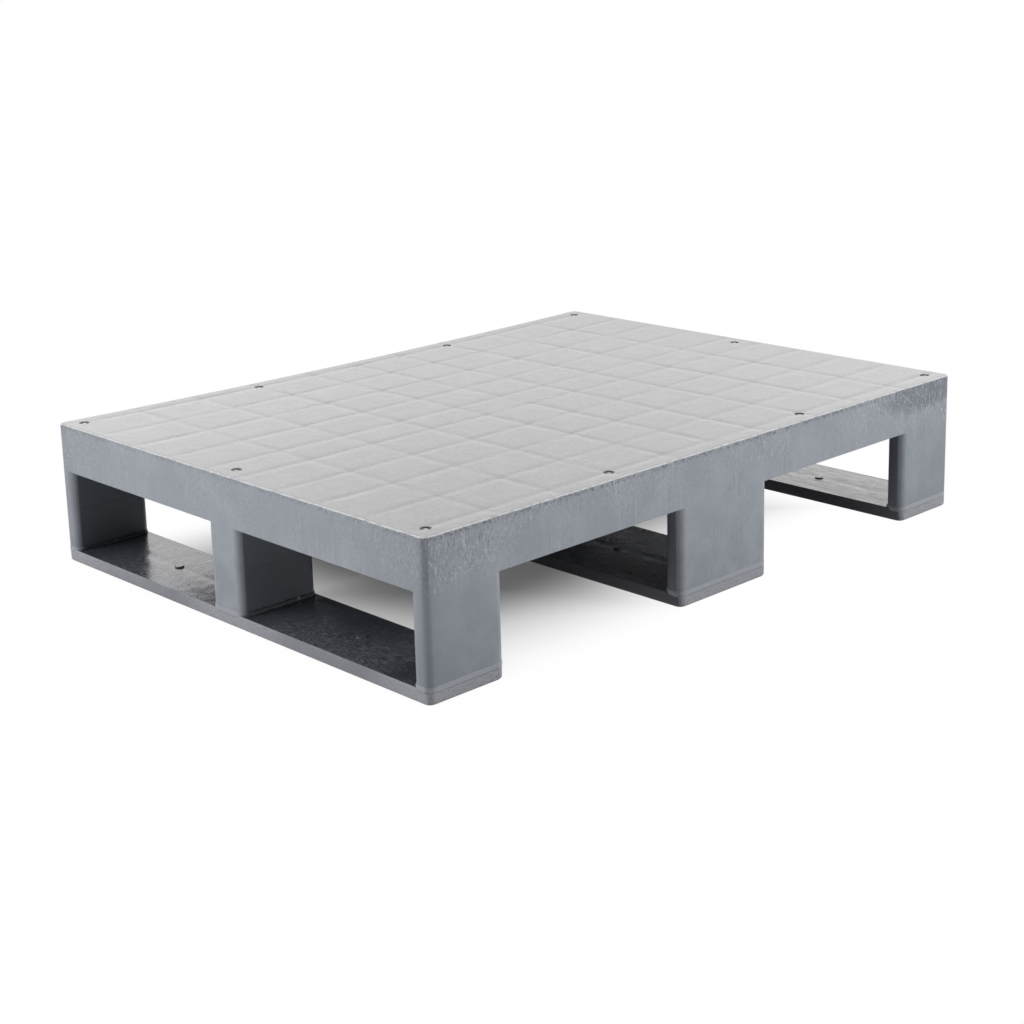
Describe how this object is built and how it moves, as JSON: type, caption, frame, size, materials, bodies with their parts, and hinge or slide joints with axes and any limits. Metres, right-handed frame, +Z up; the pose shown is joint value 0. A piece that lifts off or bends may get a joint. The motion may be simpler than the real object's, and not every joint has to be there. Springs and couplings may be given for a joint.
{
  "type": "plastic half pallet",
  "caption": "Closed-deck plastic half pallet on hollow posts with welded bottom skids, open for forks and hand trucks from every side.",
  "frame": {"origin": "on the floor, at the middle of the footprint", "axes": "+X along the long side of the deck, +Y along the short side and the skids, +Z up"},
  "size_m": [0.8, 0.6, 0.155],
  "materials": {
    "deck_plastic": "moulded grey polyethylene, satin, with flow marks and a scuffed rim",
    "skid_plastic": "moulded grey polyethylene, satin top with rippled flow marks, rougher sawn-looking edge"
  },
  "bodies": {
    "root": {"deck": "deck_plastic", "skid_left": "skid_plastic", "skid_middle": "skid_plastic", "skid_right": "skid_plastic"}
  },
  "joints": []
}
